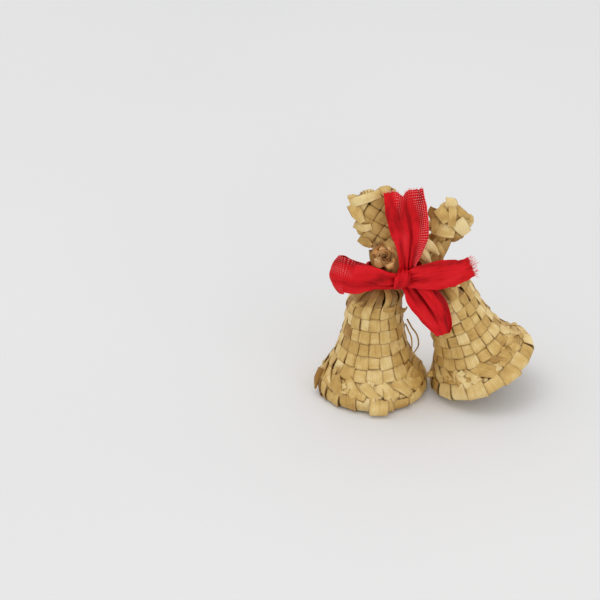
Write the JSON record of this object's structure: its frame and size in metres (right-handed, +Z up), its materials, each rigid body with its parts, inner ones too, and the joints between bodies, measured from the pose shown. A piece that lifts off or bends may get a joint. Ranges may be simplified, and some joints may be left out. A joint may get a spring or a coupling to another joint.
{
  "type": "woven straw bell ornament",
  "caption": "Pair of hollow woven straw bells with plaited knobs, tied together at their necks with a ribbon bow; one stands upright and the other leans on it.",
  "frame": {"origin": "on the floor, under the middle of the ornament's box", "axes": "+Z up, -Y towards the bow's front, +X towards the leaning bell"},
  "size_m": [0.0736, 0.0388, 0.0771],
  "materials": {
    "straw": "dry woven straw, satin",
    "warm_straw": "dry straw ends, browner",
    "ribbon": "thin open-weave ribbon"
  },
  "bodies": {
    "root": {"left_bell": "straw", "right_bell": "straw", "left_knob": "straw", "right_knob": "straw", "left_curl": "warm_straw", "right_tuft": "straw", "ribbon_bow": "ribbon"}
  },
  "joints": []
}
